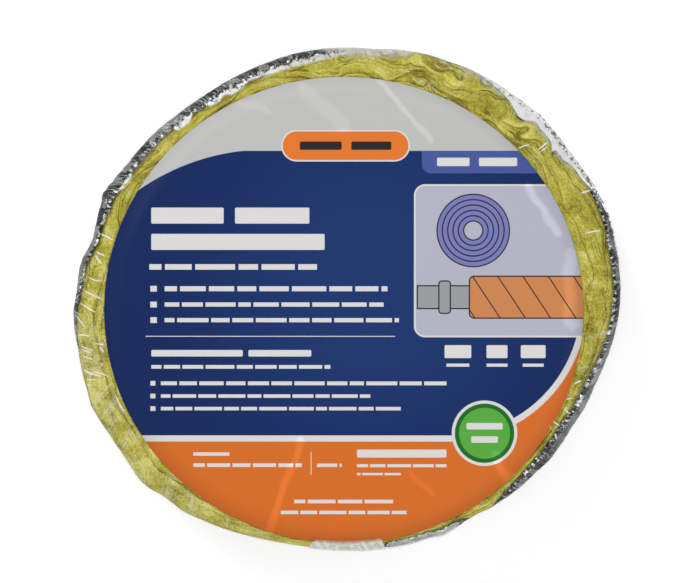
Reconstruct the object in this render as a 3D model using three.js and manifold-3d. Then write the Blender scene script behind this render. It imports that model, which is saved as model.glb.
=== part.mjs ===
// A shrink-wrapped roll of foil-backed glass-wool pipe wrap, lying on its end.
// Millimetres, +Z up. The origin is the middle of the underside.
// The strip is wound without a core, so the roll is not quite round: it is pressed
// a little oval, and the film bridges the step where the strip's cut end lies.

import * as THREE from 'three';
import { mergeVertices } from 'three/addons/utils/BufferGeometryUtils.js';
import Module from 'manifold-3d';

const wasm = await Module();
wasm.setup();

// ---- driving dimensions -----------------------------------------------------------------

// the strip of glass wool
const stripLength = 7620;      // 25 ft
const stripWidth = 76.2;       // 3 in: the height of the roll
const woundThickness = 7.1;    // the 1 in thick strip, squeezed between its neighbours
const boreRadius = 8;          // where the winding starts
const turnRelief = 1.2;        // how far the joint between two turns lies below their crests
const shoulderHeight = 9;      // how far the face rounds down to the rim
const squareness = 2.6;        // 2 would make the shoulder's arc an ellipse; more is boxier

// the cut end of the strip, on the rim
const endAngle = 36;           // degrees, from +X towards +Y
const pocketAngle = 26;        // the outer surface needs this long to come out again after the step

// the roll's shape in plan
const ovalDepth = 8.6;         // half the difference of the long and the short radius
const ovalAngle = 11.4;        // direction of the long axis
const bridgeDepth = 1.2;       // where the film spans the cut end, the outline is pulled in
const bridgeStart = 23;
const bridgeAngle = 30;
const swells = [               // places where the winding bulges, or sits in
  { at: 89, spread: 59, height: 5 },
  { at: 166, spread: 12, height: -3.4 },
  { at: 230, spread: 29, height: 2.6 },
  { at: 286, spread: 41, height: 3.7 },
  { at: 339, spread: 19, height: -2.7 },
];

// foil, card and film
const foilThickness = 0.4;
const foilLip = 50;            // degrees of the shoulder's arc that the foil reaches up
const cardThickness = 0.5;
const cardMargin = 2.9;        // from the card's edge to the rim, where they come nearest
const cardSquash = 0.974;      // the card is a little narrower along Y than along X
const cardShift = { x: -1.6, y: -4.1 };  // it lies a little off the winding's axis
const filmThickness = 0.4;
const filmShoulder = 6.5;      // the stretched film has a tighter shoulder than the wool
const ventDiameter = 6;
const ventCircle = 150;        // diameter of the ring of vent holes in the underside
const ventCount = 6;

const clearance = 0.3;         // between pieces that touch

// ---- facets -----------------------------------------------------------------------------

const segments = 54;           // round the roll
const shoulderSteps = 7;       // down the arc of a shoulder
const rimFractions = [0.7, 0.84, 0.94, 0.985];  // rows from the last crest out to the rim

// ---- sizes that follow ------------------------------------------------------------------

const radians = THREE.MathUtils.degToRad;
const ease = THREE.MathUtils.smoothstep;

// The strip's length fills the spiral: L = 2 pi ((bore + t / 2) n + t n^2 / 2).
const firstTurn = boreRadius + woundThickness / 2;
const exactTurns = (Math.sqrt(firstTurn ** 2 + woundThickness * stripLength / Math.PI) - firstTurn)
  / woundThickness;
const turnSteps = Math.round(exactTurns * segments);
const turns = turnSteps / segments;
const rimRadius = boreRadius + woundThickness * (turns + 1);

// heights, from the underside up
const woolBottom = filmThickness + clearance;
const woolTop = woolBottom + stripWidth;
const cardBottom = woolTop + clearance;
const filmCeiling = cardBottom + cardThickness + clearance;
const rollHeight = filmCeiling + filmThickness;

// offsets outwards from the wool's rim
const foilInside = clearance;
const foilOutside = foilInside + foilThickness;
const filmInside = foilOutside + clearance;
const filmOutside = filmInside + filmThickness;

// ---- plan shape -------------------------------------------------------------------------

// A rounded bump of height 1 round an angle; angles in degrees.
function bump(angle, at, spread) {
  const away = THREE.MathUtils.euclideanModulo(angle - at + 180, 360) - 180;
  return Math.abs(away) < spread ? Math.cos(away / spread * Math.PI / 2) ** 2 : 0;
}

// The pulled-in stretch of the outline: steep beside the cut end, then slowly out again.
function bridge(angle) {
  const along = THREE.MathUtils.euclideanModulo(angle - bridgeStart, 360) / bridgeAngle;
  return along < 1 ? bridgeDepth * Math.sin(Math.PI * along ** 0.6) : 0;
}

// Radius of the wool's rim, seen from above.
function outline(angle) {
  const oval = ovalDepth * Math.cos(2 * radians(angle - ovalAngle));
  const lumps = swells.reduce((sum, s) => sum + s.height * bump(angle, s.at, s.spread), 0);
  return rimRadius + oval + lumps - bridge(angle);
}

// Every piece has its facets at these angles, counted from the strip's cut end.
const facetAngles = Array.from({ length: segments }, (_, i) => endAngle + i * 360 / segments);

// The card is as large as its margin to the rim allows.
const cardRadius = Math.min(...facetAngles.map((angle) => {
  const reach = outline(angle) - cardMargin;
  const x = reach * Math.cos(radians(angle)) - cardShift.x;
  const y = reach * Math.sin(radians(angle)) - cardShift.y;
  return Math.hypot(x, y / cardSquash);
}));

// Distance from the winding's axis to the card's edge. The shoulder starts there.
function cardEdge(angle) {
  const across = { x: cardRadius, y: cardRadius * cardSquash };
  const ray = { x: Math.cos(radians(angle)) / across.x, y: Math.sin(radians(angle)) / across.y };
  const shift = { x: cardShift.x / across.x, y: cardShift.y / across.y };
  const a = ray.x ** 2 + ray.y ** 2;
  const b = ray.x * shift.x + ray.y * shift.y;
  const c = shift.x ** 2 + shift.y ** 2 - 1;
  return (b + Math.sqrt(b ** 2 - a * c)) / a;
}

// ---- meshes and solids ------------------------------------------------------------------

function meshSolid(geometry) {
  geometry.deleteAttribute('normal');
  geometry.deleteAttribute('uv');
  const merged = mergeVertices(geometry, 1e-4);
  return new wasm.Manifold(new wasm.Mesh({
    numProp: 3,
    vertProperties: new Float32Array(merged.attributes.position.array),
    triVerts: new Uint32Array(merged.index.array),
  }));
}

function solidGeometry(solid) {
  const mesh = solid.getMesh();
  return indexedGeometry(mesh.vertProperties, mesh.triVerts);
}

function indexedGeometry(positions, triangles) {
  const geometry = new THREE.BufferGeometry();
  geometry.setAttribute('position', new THREE.BufferAttribute(new Float32Array(positions), 3));
  geometry.setIndex(Array.from(triangles));
  geometry.computeVertexNormals();
  return geometry;
}

// ---- the wound wool ---------------------------------------------------------------------

// Radius of the joint line between turns, before the roll is pressed oval. The last turn
// of this line is the rim: behind the cut end it lies one thickness in, and eases out.
function jointRadius(turn) {
  if (turn <= turns) return boreRadius + woundThickness * turn;
  const pastEnd = (turn - turns) * 360;
  return rimRadius - woundThickness * (1 - ease(pastEnd, 0, pocketAngle));
}

// The joint line is a groove, which fades out where the line has become the rim.
function jointDepth(turn) {
  return turnRelief * (1 - ease((turn - turns) * 360, 0, pocketAngle));
}

// A point on the upper or lower face, across the strip from 0 (inner joint) to 1 (outer).
function facePoint(turn, across, up) {
  const angle = endAngle + 360 * (turn - turns);
  const inner = jointRadius(turn);
  const wound = inner + across * (jointRadius(turn + 1) - inner);
  const radius = wound + (outline(angle) - rimRadius) * (wound / rimRadius) ** 2;

  const shoulder = (radius - cardEdge(angle)) / (outline(angle) - cardEdge(angle));
  const left = 1 - THREE.MathUtils.clamp(shoulder, 0, 1) ** squareness;
  const roundedBy = shoulderHeight * (1 - left ** (1 / squareness));
  const groove = Math.abs(1 - 2 * across);
  const grooveDepth = groove * jointDepth(across < 0.5 ? turn : turn + 1);

  const down = roundedBy + grooveDepth;
  return [
    radius * Math.cos(radians(angle)),
    radius * Math.sin(radians(angle)),
    up ? woolTop - down : woolBottom + down,
  ];
}

// One closed body: on each face two rows of quads for each turn, joint to crest and crest
// to the next joint; a bore wall inside, a rim wall outside, and the strip's two cut ends.
function fiberglassRoll() {
  const positions = [];
  const triangles = [];
  const lastTurn = turnSteps - segments;

  function line(from, to, across, up) {
    const ids = [];
    for (let i = from; i <= to; i++) {
      ids[i] = positions.length / 3;
      positions.push(...facePoint(i / segments, across, up));
    }
    return ids;
  }

  function quad(a, b, c, d, flip = false) {
    if (flip) triangles.push(a, c, b, a, d, c);
    else triangles.push(a, b, c, a, c, d);
  }

  // lines of one face; joint line i + segments is the outer joint of strip position i
  function faceLines(up) {
    const joint = line(0, turnSteps, 0, up);
    const outermost = line(turnSteps - segments + 1, turnSteps, 1, up);
    outermost.forEach((id, i) => { joint[i + segments] = id; });
    return {
      joint,
      crest: line(0, turnSteps, 0.5, up),
      rim: rimFractions.map((across) => line(lastTurn, turnSteps, across, up)),
    };
  }

  // the ids across the strip at position i, from its inner to its outer joint
  function section(lines, i, withRim) {
    const rim = withRim ? lines.rim.map((row) => row[i]) : [];
    return [lines.joint[i], lines.crest[i], ...rim, lines.joint[i + segments]];
  }

  const top = faceLines(true);
  const bottom = faceLines(false);

  [top, bottom].forEach((lines) => {
    const flip = lines === bottom;
    for (let i = 0; i < turnSteps; i++) {
      const here = section(lines, i, i >= lastTurn);
      const next = section(lines, i + 1, i >= lastTurn);
      for (let k = 0; k + 1 < here.length; k++) {
        quad(here[k], here[k + 1], next[k + 1], next[k], flip);
      }
    }
    // where the rows of the rim begin, a thin fan closes them to the plain row before
    const fan = section(lines, lastTurn, true).slice(1);
    for (let k = 1; k + 1 < fan.length; k++) {
      const [a, b, c] = [fan[0], fan[k + 1], fan[k]];
      triangles.push(...(flip ? [a, c, b] : [a, b, c]));
    }
  });

  for (let i = 0; i < segments; i++) {
    quad(top.joint[i], top.joint[i + 1], bottom.joint[i + 1], bottom.joint[i]);
    const rim = turnSteps + i;
    quad(top.joint[rim + 1], top.joint[rim], bottom.joint[rim], bottom.joint[rim + 1]);
  }

  // the cut ends: the inner one faces backwards along the strip, the outer one forwards
  [[0, false], [turnSteps, true]].forEach(([i, outer]) => {
    const upper = section(top, i, outer);
    const lower = section(bottom, i, outer);
    for (let k = 0; k + 1 < upper.length; k++) {
      quad(upper[k], upper[k + 1], lower[k + 1], lower[k], !outer);
    }
  });

  return indexedGeometry(positions, triangles);
}

// ---- skins round the wool ---------------------------------------------------------------

// Points of a shoulder's arc, from the flat face (0 degrees) to the rim (90).
// side is 1 at the top and -1 underneath.
function shoulderArc(offset, faceZ, height, side, fromDegrees = 0) {
  const points = [];
  for (let k = 0; k <= shoulderSteps; k++) {
    const turn = radians(fromDegrees + (90 - fromDegrees) * k / shoulderSteps);
    points.push(new THREE.Vector2(
      cardRadius + offset + (rimRadius - cardRadius) * Math.sin(turn) ** (2 / squareness),
      faceZ - side * height * (1 - Math.abs(Math.cos(turn)) ** (2 / squareness)),
    ));
  }
  return points;
}

// Turns a profile about the axis, then presses it: what lies over the card's radius keeps to
// the card's edge, and what lies beyond is stretched out to the outline.
function pressedLathe(profile, offset) {
  const geometry = new THREE.LatheGeometry(profile, segments, Math.PI / 2 + radians(endAngle));
  geometry.rotateX(Math.PI / 2);
  const position = geometry.attributes.position;
  for (let i = 0; i < position.count; i++) {
    const x = position.getX(i);
    const y = position.getY(i);
    const radius = Math.hypot(x, y);
    if (radius > 0) {
      const angle = THREE.MathUtils.radToDeg(Math.atan2(y, x));
      const stretch = (outline(angle) - cardEdge(angle)) / (rimRadius - cardRadius);
      const beyond = (radius - cardRadius - offset) * stretch;
      const pressed = cardEdge(angle) + offset + beyond;
      position.setXY(i, x * pressed / radius, y * pressed / radius);
    }
  }
  return geometry;
}

function skinProfile(offset, floorZ, ceilingZ, height, fromDegrees) {
  return [
    ...shoulderArc(offset, floorZ, height, -1, fromDegrees),
    ...shoulderArc(offset, ceilingZ, height, 1, fromDegrees).reverse(),
  ];
}

// A ring of rim and shoulders, grown outwards from the wool by offset; its arcs start at
// fromDegrees and a straight wall closes it on the inside.
function rimRing(offset, fromDegrees) {
  const profile = skinProfile(offset, woolBottom - offset, woolTop + offset, shoulderHeight,
    fromDegrees);
  return meshSolid(pressedLathe([...profile, profile[0].clone()], offset));
}

// The outer turn of foil: a band round the rim that reaches a little over both shoulders,
// open behind the cut end, where the strip under it sits in.
function foilFacing() {
  const reach = 2 * rimRadius;
  const gap = new THREE.Shape();
  gap.moveTo(0, 0);
  [0, 0.5, 1].forEach((part) => {
    const angle = radians(endAngle + pocketAngle * part);
    gap.lineTo(reach * Math.cos(angle), reach * Math.sin(angle));
  });
  const wedge = new THREE.ExtrudeGeometry(gap, { depth: rollHeight, bevelEnabled: false });
  const band = rimRing(foilOutside, 90 - foilLip).subtract(rimRing(foilInside, 0));
  return solidGeometry(band.subtract(meshSolid(wedge)));
}

function labelCard() {
  const disc = new THREE.Shape(facetAngles.map((angle) => new THREE.Vector2(
    cardEdge(angle) * Math.cos(radians(angle)),
    cardEdge(angle) * Math.sin(radians(angle)),
  )));
  const card = new THREE.ExtrudeGeometry(disc, { depth: cardThickness, bevelEnabled: false });
  return card.translate(0, 0, cardBottom);
}

// The solid that fills the film out to one of its two surfaces.
function filmBody(offset, floorZ, ceilingZ) {
  const axisPoint = (z) => new THREE.Vector2(0, z);
  const profile = skinProfile(offset, floorZ, ceilingZ, filmShoulder);
  return meshSolid(pressedLathe([axisPoint(floorZ), ...profile, axisPoint(ceilingZ)], offset));
}

function shrinkFilm() {
  const outside = filmBody(filmOutside, 0, rollHeight);
  const inside = filmBody(filmInside, filmThickness, filmCeiling);
  let film = outside.subtract(inside);
  for (let i = 0; i < ventCount; i++) {
    const angle = 2 * Math.PI * i / ventCount;
    const vent = new THREE.CylinderGeometry(ventDiameter / 2, ventDiameter / 2, 4 * filmThickness, 12);
    vent.rotateX(Math.PI / 2);
    vent.translate(ventCircle / 2 * Math.cos(angle), ventCircle / 2 * Math.sin(angle), 0);
    film = film.subtract(meshSolid(vent));
  }
  return solidGeometry(film);
}

// ---- assembly ---------------------------------------------------------------------------

function piece(name, geometry, colour, roughness, metalness, look = {}) {
  const material = new THREE.MeshStandardMaterial({ color: colour, roughness, metalness, ...look });
  const mesh = new THREE.Mesh(geometry, material);
  mesh.name = name;
  return mesh;
}

const roll = new THREE.Group();
roll.add(
  piece('fiberglass_roll', fiberglassRoll(), 0xbcb256, 0.95, 0),
  piece('foil_facing', foilFacing(), 0xb4b8b4, 0.35, 1),
  piece('label_card', labelCard(), 0x1f386e, 0.55, 0),
  piece('shrink_film', shrinkFilm(), 0xf2f4f4, 0.12, 0, { transparent: true, opacity: 0.25 }),
);

// the underside's middle becomes the origin
const middle = new THREE.Box3().setFromObject(roll).getCenter(new THREE.Vector3());
roll.position.set(-middle.x, -middle.y, 0);

export default roll;
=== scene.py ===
# %% [markdown]
# # A shrink-wrapped roll of pipe insulation
# The object is a long strip of yellow glass wool with an aluminium foil backing, wound up
# tight without a core, with a round printed card on its end and a clear shrink film round
# everything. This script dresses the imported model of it. The model stays as it is, and every
# length here is in metres.
# We start by loading the model, because its four parts say how large everything is.

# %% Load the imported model
import functools
import math

import bmesh
import bpy
import numpy as np
from mathutils import Matrix, Vector
from mathutils.bvhtree import BVHTree


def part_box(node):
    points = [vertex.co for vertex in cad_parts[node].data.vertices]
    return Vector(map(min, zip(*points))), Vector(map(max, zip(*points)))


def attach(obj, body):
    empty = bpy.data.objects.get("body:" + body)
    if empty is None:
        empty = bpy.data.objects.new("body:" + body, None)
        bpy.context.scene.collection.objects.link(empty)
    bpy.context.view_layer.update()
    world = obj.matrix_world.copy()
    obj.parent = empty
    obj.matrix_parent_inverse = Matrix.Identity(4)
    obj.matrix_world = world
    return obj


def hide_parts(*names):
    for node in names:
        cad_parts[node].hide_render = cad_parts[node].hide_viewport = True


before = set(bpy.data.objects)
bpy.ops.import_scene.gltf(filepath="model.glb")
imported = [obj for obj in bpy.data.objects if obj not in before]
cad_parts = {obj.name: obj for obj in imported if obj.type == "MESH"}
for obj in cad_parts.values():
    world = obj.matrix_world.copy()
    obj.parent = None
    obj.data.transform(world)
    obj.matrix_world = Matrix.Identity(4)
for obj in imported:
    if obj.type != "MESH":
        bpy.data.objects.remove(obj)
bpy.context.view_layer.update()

MM = 0.001
IN_MM = 1000.0                               # turns metres into millimetres

# %% [markdown]
# ## Sizes
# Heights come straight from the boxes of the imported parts. The roll isn't quite round and the
# card lies a little off its middle, so both outlines are measured about the winding's axis:
# rays shot inwards meet the film's wall and the card's edge, once for each degree. A few
# waves fitted to those distances give smooth lines without the facets.

# %% Measure the roll
wool_low, wool_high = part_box("fiberglass_roll")
card_low, card_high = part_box("label_card")
CARD_MIDDLE = (card_low + card_high) / 2
AXIS = CARD_MIDDLE + Vector((1.6, 4.1, 0)) * MM  # the card was laid a little off the axis
WOOL_BOTTOM, WOOL_TOP = wool_low.z, wool_high.z
CARD_TOP = card_high.z
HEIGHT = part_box("shrink_film")[1].z
FILM_TO_WOOL = 0.7 * MM                      # film, flat foil and the gaps between them
FOIL_ROOM = 0.7 * MM                         # what crumpled foil takes up besides
OUTLINE_WAVES = 12
STRIP_LENGTH = 7.62
BORE = 8 * MM                                # where the winding starts
TURN = 7.1 * MM                              # one squeezed layer of the strip
END_ANGLE = 36.0                             # degrees, where the outer cut end lies
POCKET_ANGLE = 26.0                          # the outline needs this long to come out again
TAIL_THINNING = 4.5 * MM                     # the strip's last stretch is squeezed thinner
SHOULDER = 9 * MM                            # how far the faces round down to the rim
CRUSHED = 58.0                               # degrees, where the turns were crushed most
HOLLOW = 46.0                                # degrees, the hollow behind the outer cut end
SQUARENESS = 2.6                             # 2 would make the shoulder's arc an ellipse
FIRST_TURN = BORE + TURN / 2
TURNS = (math.sqrt(FIRST_TURN ** 2 + TURN * STRIP_LENGTH / math.pi) - FIRST_TURN) / TURN
FULL_RADIUS = BORE + TURN * (TURNS + 1)


def measured_outline(node, height):
    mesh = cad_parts[node].data
    tree = BVHTree.FromPolygons([v.co for v in mesh.vertices], [p.vertices for p in mesh.polygons])
    distances = []
    for degree in range(360):
        outwards = Vector((math.cos(math.radians(degree)), math.sin(math.radians(degree)), 0))
        start = Vector((AXIS.x, AXIS.y, height)) + outwards
        hit = tree.ray_cast(start, -outwards)[0]
        distances.append(math.hypot(hit.x - AXIS.x, hit.y - AXIS.y))
    waves = np.fft.rfft(distances)
    waves[OUTLINE_WAVES + 1:] = 0
    return np.fft.irfft(waves, 360)


# what the film has done round the rim: pairs of a direction in degrees and millimetres
CORNERS = (                                  # stiff creases stick out, the places between sink in
    (0, 0), (12, 0), (18, 0.9), (24, 0.7), (30, 0), (34, 0), (38, 0.9), (42, 1.5), (44, 2.1),
    (46, 1.4), (52, 0.8), (58, 0.9), (63, 1.1), (67, 0.8), (72, 1.4), (78, 0.7), (84, -0.4),
    (90, 0.4), (96, 1.5), (102, 2.1), (108, 1.5), (114, 1.1), (122, 0.7), (132, 0.7), (138, 0.9),
    (142, 0.3), (147, 0), (150, 0.5), (153, 1.6), (156.3, 3.3), (158, 1.6), (160, 1.2), (163, 0),
    (166, -1.0), (168.5, -0.4), (170.5, 1.0), (174, 0.6), (178, -0.4), (182, 0.5), (186, 0),
    (190, -0.9), (195, 0), (199, 0.6), (202, 1.8), (205, 1.1), (209, 0), (214, -0.2), (217, 0.3),
    (220.5, 1.7), (223, 1.5), (226, -0.2), (228.5, -0.4), (232, 0.5), (236, 0), (286, 0.4),
    (289, 0), (292.5, 1.4), (295, 0.6), (298, 0), (301.5, -0.8), (305, 0.4), (308, 0.5), (313, 0.5),
    (318, 0.2), (322, 1.0), (327, 0.4), (331, 0), (336, 0.8), (341, 0),
)
FOIL_LIP = (                                 # how far the foil is pulled in over the shoulder
    (-100, 0), (-82, 0), (-80, 2.6), (-64, 2.6), (-60, 0), (-55, 0), (-50, 2.4), (-42, 5.0),
    (-35, 5.8), (-25, 5.4), (-17, 4.8), (-10, 3.6), (0, 3.8), (15, 3.6), (24, 1.8), (31, 0),
    (87, 0), (92, 1.8), (100, 3.4), (110, 4.6), (125, 4.4), (150, 4.6), (156, 6.0), (160, 4.4),
    (165, 3.3), (172, 3.2), (177, 2.3), (186, 1.0), (192, 0),
)
MILKY = (                                    # how far in the film is milky
    (-99, 0), (-97, 9), (-82, 9), (-81, 0), (-79, 1.4), (-67, 1.8), (-63, 0), (22, 0),
    (26, 1.6), (33, 5.6), (45, 6.0), (55, 3.2), (61, 2.0), (66, 0), (74.5, 0), (77, 3.0),
    (89, 4.4), (94, 2), (97, 0),
)
WHITENED = (                                 # how far it is white beyond the foil's lip
    (87, 0), (91, 2.6), (98, 3.6), (105, 2.8), (111, 1.4), (114, 0.9), (115.5, 3.0),
    (119, 3.4), (120.5, 0.8), (122, 3.0), (124.5, 2.8), (126, 0.5), (129.5, 0.5), (130.7, 3.2),
    (134.3, 3.2), (135.5, 0.4), (148, 0.3), (149.5, 2.2), (153, 1.8), (154.5, 0),
)


def round_the_rim(table):
    """A table's value in metres for each degree."""
    directions, lengths = zip(*table)
    return np.interp(np.arange(360), directions, lengths, period=360) * MM


film_outline = measured_outline("shrink_film", HEIGHT / 2) + round_the_rim(CORNERS)
card_outline = measured_outline("label_card", CARD_MIDDLE.z)
foil_lip = round_the_rim(FOIL_LIP)
wool_outline = film_outline - FILM_TO_WOOL - np.clip(foil_lip * 0.5, 0.0, FOIL_ROOM)
for name, radii in (("wool", wool_outline), ("card", card_outline)):
    print(f"the {name} reaches {radii.min():.4f} to {radii.max():.4f} m from the axis")

# %% [markdown]
# ## Arithmetic on sockets
# Shader trees and Geometry Nodes share their Math nodes, so one small class serves both. A
# `Wire` holds an output socket, and adding, multiplying or comparing wires adds the node that
# does it. A `Nodes` object adds any other node from its type, its settings and its inputs.

# %% Wires and nodes
def operator(operation):
    """The method for wire + other, and its reflected form for other + wire."""
    def forwards(self, other):
        return calculate(operation, self, other)

    def reflected(self, other):
        return calculate(operation, other, self)

    return forwards, reflected


def function(operation):
    """The method for a function of one wire."""
    def of_itself(self):
        return calculate(operation, self)

    return of_itself


class Wire:
    """An output socket that takes part in Python arithmetic."""

    def __init__(self, socket):
        self.socket = socket
        self.tree = socket.id_data

    __add__, __radd__ = operator("ADD")
    __sub__, __rsub__ = operator("SUBTRACT")
    __mul__, __rmul__ = operator("MULTIPLY")
    __truediv__, __rtruediv__ = operator("DIVIDE")
    __pow__, __rpow__ = operator("POWER")
    __mod__, __rmod__ = operator("FLOORED_MODULO")
    __lt__ = operator("LESS_THAN")[0]
    __gt__ = operator("GREATER_THAN")[0]
    at_least = operator("MAXIMUM")[0]
    at_most = operator("MINIMUM")[0]
    __abs__ = function("ABSOLUTE")
    sin = function("SINE")
    cos = function("COSINE")
    sqrt = function("SQRT")
    floor = function("FLOOR")

    def clamped(self):
        return self.at_least(0.0).at_most(1.0)

    def also(self, output):
        """Another output of the same node."""
        return Wire(self.socket.node.outputs[output])

    def ease(self, low, high, to_low=0.0, to_high=1.0):
        """Runs smoothly from to_low to to_high while the wire runs from low to high."""
        return Nodes(self.tree).add("ShaderNodeMapRange", {"interpolation_type": "SMOOTHSTEP"},
                                    {0: self, 1: low, 2: high, 3: to_low, 4: to_high})

    def fade(self, low, high):
        """1 below low, falling to 0 at high."""
        return self.ease(low, high, 1.0, 0.0)

    def near(self, at, spread):
        """For a direction in degrees: 1 near another one, falling to 0 at spread from it."""
        away = abs((self - (at - 180.0)) % 360.0 - 180.0)
        return away.fade(spread * 0.5, spread)

    def scaled(self, factor):
        """A vector made longer or shorter."""
        return vector_maths("SCALE", self, scale=factor)

    def parts(self):
        """The x, y and z of a vector."""
        x = Nodes(self.tree).add("ShaderNodeSeparateXYZ", inputs={0: self})
        return [x, x.also(1), x.also(2)]


def plug(slot, value):
    """Links a wire to an input, or writes a number, colour or vector into it."""
    if isinstance(value, Wire):
        slot.id_data.links.new(value.socket, slot)
    elif slot.type == "RGBA" and len(value) == 3:
        slot.default_value = (*value, 1.0)
    else:
        slot.default_value = value


def plug_all(node, values):
    for name, value in values.items():
        plug(node.inputs[name], value)


def tree_of(values):
    return next(value.tree for value in values if isinstance(value, Wire))


def calculate(operation, *values):
    return Nodes(tree_of(values)).add("ShaderNodeMath", {"operation": operation},
                                      dict(enumerate(values)))


def vector_maths(operation, *values, scale=None, out=0):
    inputs = dict(enumerate(values))
    if scale is not None:
        inputs["Scale"] = scale
    return Nodes(tree_of(values)).add("ShaderNodeVectorMath", {"operation": operation}, inputs, out)


def direction(x, y):
    """The direction of a place, in degrees from +X towards +Y."""
    return calculate("ARCTAN2", y, x) * math.degrees(1.0)


class Nodes:
    """A node tree that is being built."""

    def __init__(self, tree):
        self.tree = tree

    def add(self, kind, settings=None, inputs=None, out=0):
        node = self.tree.nodes.new(kind)
        for name, value in (settings or {}).items():
            if name == "stops":
                set_stops(node.color_ramp, value)
            else:
                setattr(node, name, value)
        plug_all(node, inputs or {})
        return Wire(node.outputs[out])

    def vector(self, x=0.0, y=0.0, z=0.0):
        return self.add("ShaderNodeCombineXYZ", inputs={"X": x, "Y": y, "Z": z})

    def place(self):
        """Where a point of the piece lies."""
        return self.add("ShaderNodeTexCoord", out="Object")

    def attribute(self, name):
        """The three numbers that a point of the piece carries under a name."""
        return self.add("ShaderNodeAttribute", {"attribute_name": name}, out="Vector").parts()

    def ramp(self, factor, *stops):
        """A colour that runs through stops, each a number and a colour."""
        return self.add("ShaderNodeValToRGB", {"stops": stops}, {"Fac": factor})

    def bump(self, height, distance):
        return self.add("ShaderNodeBump", inputs={"Height": height, "Distance": distance})

    def mix(self, factor, first, second):
        """A colour between two colours."""
        return self.add("ShaderNodeMix", {"data_type": "RGBA"}, {0: factor, 6: first, 7: second}, 2)

    def choose(self, condition, if_true, if_false):
        """A number that switches with a 0 or 1."""
        return if_false + condition * (if_true - if_false)

    def noise(self, place, scale, detail=2.0, rough=0.5, seed=0.0):
        """Noise about 0, from about -1 to 1, with a different one for each seed. The place is a
        vector, or a tuple of its three parts."""
        if isinstance(place, tuple):
            place = self.vector(*place)
        return self.add("ShaderNodeTexNoise", {"noise_dimensions": "4D"}, {
            "Vector": place, "W": seed, "Scale": scale, "Detail": detail, "Roughness": rough,
        }) * 2.0 - 1.0


def set_stops(ramp, stops):
    while len(ramp.elements) < len(stops):
        ramp.elements.new(1.0)
    for element, (place, colour) in zip(ramp.elements, stops):
        element.position = place
        element.color = (*colour, 1.0)


def streak(x, y, start, end, width, waver):
    """1 along a line between two places, falling to 0 at its width; lengths in millimetres.
    The waver is a noise that bends it."""
    length = math.dist(start, end)
    cosine, sine = (end[0] - start[0]) / length, (end[1] - start[1]) / length
    x, y = x - start[0], y - start[1]
    along, beside = x * cosine + y * sine, y * cosine - x * sine + waver * width
    past = (0.0 - along).at_least(along - length).at_least(0.0)
    return (abs(beside) + past).fade(width * 0.15, width)


def off_stroke(place, start, end, width):
    """How far off a stroke a place is: 0 along its middle line and 1 at its border. A stroke is
    thickest in the middle and pointed at both ends. The place's z has to be 1, so that one dot
    product turns and shifts it."""
    middle = Vector((start[0] + end[0], start[1] + end[1])) / 2
    half = Vector((end[0] - start[0], end[1] - start[1])) / 2
    lengthwise = half / half.length_squared
    sideways = Vector((-half.y, half.x)) / (half.length * width)
    along, beside = [
        vector_maths("DOT_PRODUCT", place, (*way, -way.dot(middle)), out="Value")
        for way in (lengthwise, sideways)
    ]
    squared = along * along
    return squared * squared + abs(beside)


def add_object(name, data):
    """A new object in the scene, at the origin."""
    made = bpy.data.objects.new(name, data)
    bpy.context.scene.collection.objects.link(made)
    return made


print("helpers are ready")

# %% [markdown]
# ## The stage
# The roll lies on its end on a white studio floor and the camera looks down on it, nearly
# along its axis. A long lens keeps the round end round. The world is bright round the
# horizon and dim overhead, as a studio with light walls is, so that the clear film doesn't
# mirror a white ceiling over the print, while the foil finds both light and dark to reflect.

# %% Camera
FRAME_WIDTH, FRAME_HEIGHT = 691, 583         # the picture's frame
PIXEL = 0.53 * MM                            # one pixel at the middle of the roll
LEAN_UP, LEAN_RIGHT = 2.0, 0.5               # degrees the camera stands off the roll's axis
CAMERA_DISTANCE = 4.0
SENSOR = 36.0


def add_camera(target):
    back = Vector((math.tan(math.radians(LEAN_RIGHT)), math.tan(math.radians(LEAN_UP)), 1.0))
    back.normalize()
    right = Vector((0, 1, 0)).cross(back).normalized()
    up = back.cross(right)
    data = bpy.data.cameras.new("camera")
    data.sensor_width = SENSOR
    data.lens = SENSOR * CAMERA_DISTANCE / (FRAME_WIDTH * PIXEL)
    camera = add_object("camera", data)
    camera.matrix_world = Matrix.Translation(target + back * CAMERA_DISTANCE) @ Matrix(
        (right, up, back)).transposed().to_4x4()
    bpy.context.scene.camera = camera


add_camera(Vector((-1.0 * MM, 3.2 * MM, HEIGHT / 2)))
print("the camera stands", CAMERA_DISTANCE, "m off")


# %% Floor and light
def new_material(name):
    material = bpy.data.materials.new(name)
    material.use_nodes = True
    nodes = Nodes(material.node_tree)
    shader = material.node_tree.nodes["Principled BSDF"]
    return material, nodes, shader


def add_floor():
    floor_mesh = bpy.data.meshes.new("floor")
    half = 6.0
    corners = [(-half, -half, 0), (half, -half, 0), (half, half, 0), (-half, half, 0)]
    floor_mesh.from_pydata(corners, [], [(0, 1, 2, 3)])
    floor = add_object("floor", floor_mesh)
    material, nodes, shader = new_material("floor_paper")
    seen = nodes.add("ShaderNodeLightPath", out="Is Camera Ray")
    plug_all(shader, {"Base Color": (0.86, 0.86, 0.86), "Roughness": 0.9,
                      "Emission Color": (1.0, 1.0, 1.0), "Emission Strength": seen * 0.45})
    floor_mesh.materials.append(material)


def add_softbox(name, azimuth, elevation, distance, size, power):
    data = bpy.data.lights.new(name, "AREA")
    data.shape = "RECTANGLE"
    data.size, data.size_y = size
    data.energy = power
    lamp = add_object(name, data)
    a, e = math.radians(azimuth), math.radians(elevation)
    towards = Vector((math.cos(a) * math.cos(e), math.sin(a) * math.cos(e), math.sin(e)))
    lamp.location = towards * distance
    lamp.rotation_mode = "QUATERNION"
    lamp.rotation_quaternion = towards.to_track_quat("Z", "Y")


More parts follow.
